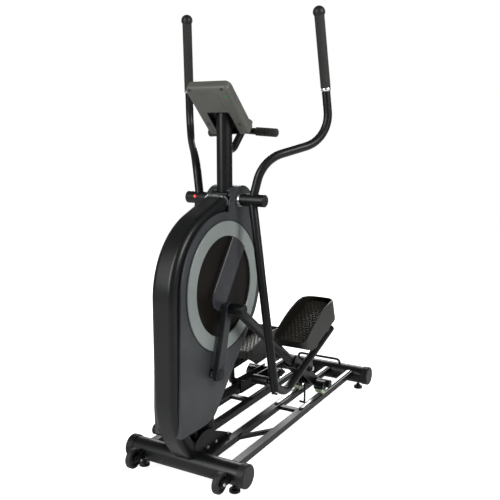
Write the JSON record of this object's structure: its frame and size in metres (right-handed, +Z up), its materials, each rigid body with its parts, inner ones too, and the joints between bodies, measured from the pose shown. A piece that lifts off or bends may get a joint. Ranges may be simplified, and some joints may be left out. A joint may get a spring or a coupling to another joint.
{
  "type": "elliptical trainer",
  "caption": "Front-drive elliptical trainer with swinging handlebars, foot plates on rail-guided roller arms, enclosed flywheel and tilted console.",
  "frame": {"origin": "centre of the overall box on the floor, under the levelling feet", "axes": "+Z up, +Y to the rear of the machine where the rider stands, +X to the rider's left"},
  "size_m": [0.6436, 1.3314, 1.692],
  "materials": {
    "frame_paint": "satin black powder coat",
    "crank_paint": "satin charcoal powder coat",
    "shield_plastic": "satin graphite",
    "ring_silver": "satin silver",
    "black_plastic": "fine texture",
    "zinc_steel": "zinc plated",
    "track_steel": "polished running face",
    "trim_chrome": "bright",
    "flywheel_iron": "black painted",
    "belt_rubber": "ribbed",
    "magnet_steel": "plated",
    "roller_urethane": "satin cast urethane",
    "grip_foam": "fine foam",
    "wheel_rubber": "matt",
    "foot_rubber": "matt",
    "console_grey": "fine texture",
    "screen_dark": "gloss window",
    "window_dark": "satin dark brown",
    "button_green": "satin",
    "button_red": "satin"
  },
  "bodies": {
    "frame": {"base_plates": "frame_paint", "console_back": "console_grey", "console_front": "console_grey", "console_screen": "screen_dark", "console_seat": "black_plastic", "cross_members": "frame_paint", "drive_belt": "belt_rubber", "end_caps": "black_plastic", "fixed_grips": "grip_foam", "fixed_handlebar": "frame_paint", "flywheel_mount": "frame_paint", "front_stabilizer": "frame_paint", "left_shield": "shield_plastic", "lift_handle": "frame_paint", "mast": "frame_paint", "pivot_axle": "zinc_steel", "pivot_bracket": "frame_paint", "rails": "frame_paint", "rear_stabilizer": "frame_paint", "right_shield": "shield_plastic", "shield_rings": "ring_silver", "shield_struts": "crank_paint", "spine": "frame_paint", "spine_trim": "trim_chrome", "track_plugs": "black_plastic", "tracks": "track_steel", "upright": "frame_paint", "wheel_brackets": "frame_paint", "window_discs": "window_dark"},
    "crank": {"crank_axle": "zinc_steel", "crank_pulley": "black_plastic", "left_crank_arm": "crank_paint", "right_crank_arm": "crank_paint", "crank_caps": "black_plastic"},
    "flywheel": {"flywheel": "flywheel_iron"},
    "brake_magnet": {"brake_magnet": "magnet_steel"},
    "left_swing_arm": {"left_swing_arm": "frame_paint", "left_grip": "grip_foam", "left_grip_knob": "black_plastic"},
    "left_carriage": {"left_roller_axle": "frame_paint"},
    "left_rollers": {"left_rollers": "roller_urethane"},
    "left_roller_arm": {"left_roller_arm": "frame_paint"},
    "left_pedal_arm": {"left_pedal_arm": "frame_paint", "left_pedal": "black_plastic"},
    "left_transport_wheel": {"left_transport_wheel": "wheel_rubber"},
    "front_left_foot": {"front_left_foot": "foot_rubber"},
    "rear_left_foot": {"rear_left_foot": "foot_rubber"},
    "right_swing_arm": {"right_swing_arm": "frame_paint", "right_grip": "grip_foam", "right_grip_knob": "black_plastic"},
    "right_carriage": {"right_roller_axle": "frame_paint"},
    "right_rollers": {"right_rollers": "roller_urethane"},
    "right_roller_arm": {"right_roller_arm": "frame_paint"},
    "right_pedal_arm": {"right_pedal_arm": "frame_paint", "right_pedal": "black_plastic"},
    "right_transport_wheel": {"right_transport_wheel": "wheel_rubber"},
    "front_right_foot": {"front_right_foot": "foot_rubber"},
    "rear_right_foot": {"rear_right_foot": "foot_rubber"},
    "start_button": {"start_button": "button_green"},
    "stop_button": {"stop_button": "button_red"}
  },
  "joints": [
    {"name": "flywheel_spin", "type": "hinge", "parent": "frame", "child": "flywheel", "pos_m": [0, -0.36075, 0.685], "axis": [1, 0, 0], "continuous": true},
    {"name": "crank_spin", "type": "hinge", "parent": "frame", "child": "crank", "pos_m": [0, -0.44975, 0.381], "axis": [1, 0, 0], "continuous": true},
    {"name": "brake_swing", "type": "hinge", "parent": "frame", "child": "brake_magnet", "pos_m": [0, -0.57375, 0.645], "axis": [1, 0, 0], "range_deg": [0, 4]},
    {"name": "left_stride", "type": "slide", "parent": "frame", "child": "left_carriage", "axis": [0, 1, 0], "range_m": [-0.186, 0.213]},
    {"name": "right_stride", "type": "slide", "parent": "frame", "child": "right_carriage", "axis": [0, 1, 0], "range_m": [-0.213, 0.186]},
    {"name": "left_swing", "type": "hinge", "parent": "frame", "child": "left_swing_arm", "pos_m": [0.1148, -0.25625, 0.991], "axis": [1, 0, 0], "range_deg": [-16.18, 18.53]},
    {"name": "left_rollers_spin", "type": "hinge", "parent": "left_carriage", "child": "left_rollers", "pos_m": [0.1215, 0.24319, 0.12275], "axis": [1, 0, 0], "range_deg": [-470.38, 410.89]},
    {"name": "left_arm_tilt", "type": "hinge", "parent": "left_carriage", "child": "left_roller_arm", "pos_m": [0.1215, 0.27119, 0.13275], "axis": [1, 0, 0], "range_deg": [0, 35.08]},
    {"name": "left_pedal_tilt", "type": "hinge", "parent": "left_roller_arm", "child": "left_pedal_arm", "pos_m": [0.195, 0.10988, 0.25098], "axis": [1, 0, 0], "range_deg": [-51.12, 0]},
    {"name": "right_swing", "type": "hinge", "parent": "frame", "child": "right_swing_arm", "pos_m": [-0.1148, -0.25625, 0.991], "axis": [1, 0, 0], "range_deg": [-18.53, 16.18]},
    {"name": "right_rollers_spin", "type": "hinge", "parent": "right_carriage", "child": "right_rollers", "pos_m": [-0.1215, 0.26806, 0.12275], "axis": [1, 0, 0], "range_deg": [-410.89, 470.38]},
    {"name": "right_arm_tilt", "type": "hinge", "parent": "right_carriage", "child": "right_roller_arm", "pos_m": [-0.1215, 0.29606, 0.13275], "axis": [1, 0, 0], "range_deg": [-35.08, 0]},
    {"name": "right_pedal_tilt", "type": "hinge", "parent": "right_roller_arm", "child": "right_pedal_arm", "pos_m": [-0.195, 0.0961, 0.13681], "axis": [1, 0, 0], "range_deg": [0, 51.12]},
    {"name": "left_wheel_spin", "type": "hinge", "parent": "frame", "child": "left_transport_wheel", "pos_m": [0.185, -0.60775, 0.0635], "axis": [1, 0, 0], "continuous": true},
    {"name": "right_wheel_spin", "type": "hinge", "parent": "frame", "child": "right_transport_wheel", "pos_m": [-0.185, -0.60775, 0.0635], "axis": [1, 0, 0], "continuous": true},
    {"name": "front_left_foot_turn", "type": "hinge", "parent": "frame", "child": "front_left_foot", "pos_m": [0.198, -0.52875, 0], "axis": [0, 0, 1], "continuous": true},
    {"name": "front_right_foot_turn", "type": "hinge", "parent": "frame", "child": "front_right_foot", "pos_m": [-0.198, -0.52875, 0], "axis": [0, 0, 1], "continuous": true},
    {"name": "rear_left_foot_turn", "type": "hinge", "parent": "frame", "child": "rear_left_foot", "pos_m": [0.211, 0.62325, 0], "axis": [0, 0, 1], "continuous": true},
    {"name": "rear_right_foot_turn", "type": "hinge", "parent": "frame", "child": "rear_right_foot", "pos_m": [-0.211, 0.62325, 0], "axis": [0, 0, 1], "continuous": true},
    {"name": "start_button_press", "type": "slide", "parent": "frame", "child": "start_button", "axis": [0, 0.6909, 0.723], "range_m": [-0.0015, 0], "stiffness_N_per_m": 400},
    {"name": "stop_button_press", "type": "slide", "parent": "frame", "child": "stop_button", "axis": [0, 0.6909, 0.723], "range_m": [-0.0015, 0], "stiffness_N_per_m": 400}
  ],
  "couplings": [
    {"joint": "crank_spin", "follows": "flywheel_spin", "ratio": 0.15385},
    {"joint": "right_stride", "follows": "left_stride", "ratio": -1},
    {"joint": "left_swing", "follows": "left_stride", "rad_per_m": 1.5175},
    {"joint": "right_swing", "follows": "left_stride", "rad_per_m": -1.5175},
    {"joint": "left_rollers_spin", "follows": "left_stride", "rad_per_m": -38.462},
    {"joint": "right_rollers_spin", "follows": "left_stride", "rad_per_m": 38.462},
    {"joint": "right_arm_tilt", "follows": "left_arm_tilt", "ratio": -1},
    {"joint": "left_pedal_tilt", "follows": "left_arm_tilt", "ratio": -1.4569},
    {"joint": "right_pedal_tilt", "follows": "left_arm_tilt", "ratio": 1.4569}
  ]
}
